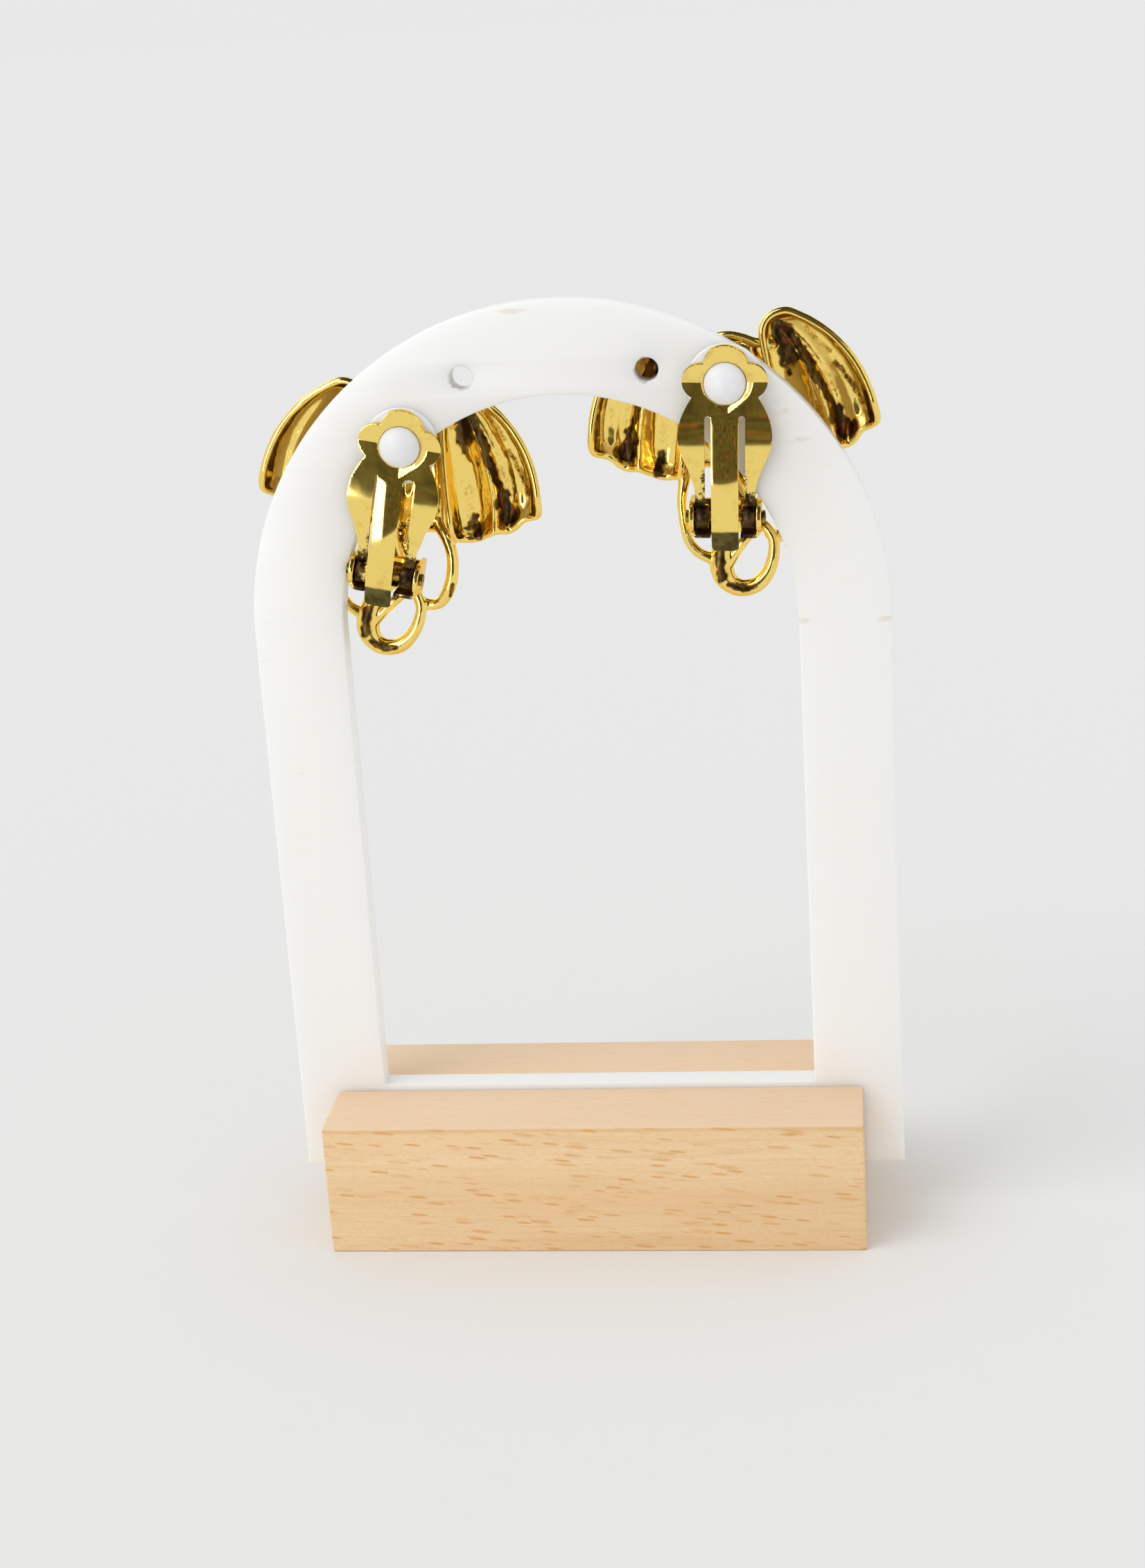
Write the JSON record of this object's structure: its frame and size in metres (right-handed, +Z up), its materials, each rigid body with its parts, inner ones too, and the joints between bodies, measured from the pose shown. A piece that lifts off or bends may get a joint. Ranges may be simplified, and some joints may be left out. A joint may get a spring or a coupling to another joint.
{
  "type": "clip on earring pair on arch display stand",
  "caption": "Antique gold fluted bow clip on earrings, seen from their spring clips, worn on a white arch panel that stands in a wooden block.",
  "frame": {"origin": "centre of the wooden block's underside", "axes": "+X along the block, to the right as seen from the clips' side; -Y towards that side, where the paddles are; +Z up"},
  "size_m": [0.07, 0.024, 0.1056],
  "materials": {
    "wood": "plain sawn beech with fine ray flecks",
    "acrylic": "glossy opal white sheet",
    "gold": "mirror bright antique gold plate, dark in the folds",
    "pin": "dark tarnished brass",
    "pad": "soft white silicone"
  },
  "bodies": {
    "stand": {"wood_block": "wood", "arch_panel": "acrylic", "left_bow": "gold", "left_hinge_pin": "pin", "right_bow": "gold", "right_hinge_pin": "pin"},
    "left_clip": {"left_paddle": "gold", "left_pad": "pad"},
    "right_clip": {"right_paddle": "gold", "right_pad": "pad"}
  },
  "joints": [
    {"name": "left_clip_hinge", "type": "hinge", "parent": "stand", "child": "left_clip", "pos_m": [-0.01987, -0.00118, 0.0769], "axis": [0.9778, 0, -0.2096], "range_deg": [0, 50], "stiffness_Nm_per_rad": 0.002, "springref_deg": -20.05},
    {"name": "right_clip_hinge", "type": "hinge", "parent": "stand", "child": "right_clip", "pos_m": [0.01755, -0.00118, 0.08181], "axis": [0.9991, 0, -0.0419], "range_deg": [0, 50], "stiffness_Nm_per_rad": 0.002, "springref_deg": -20.05}
  ]
}
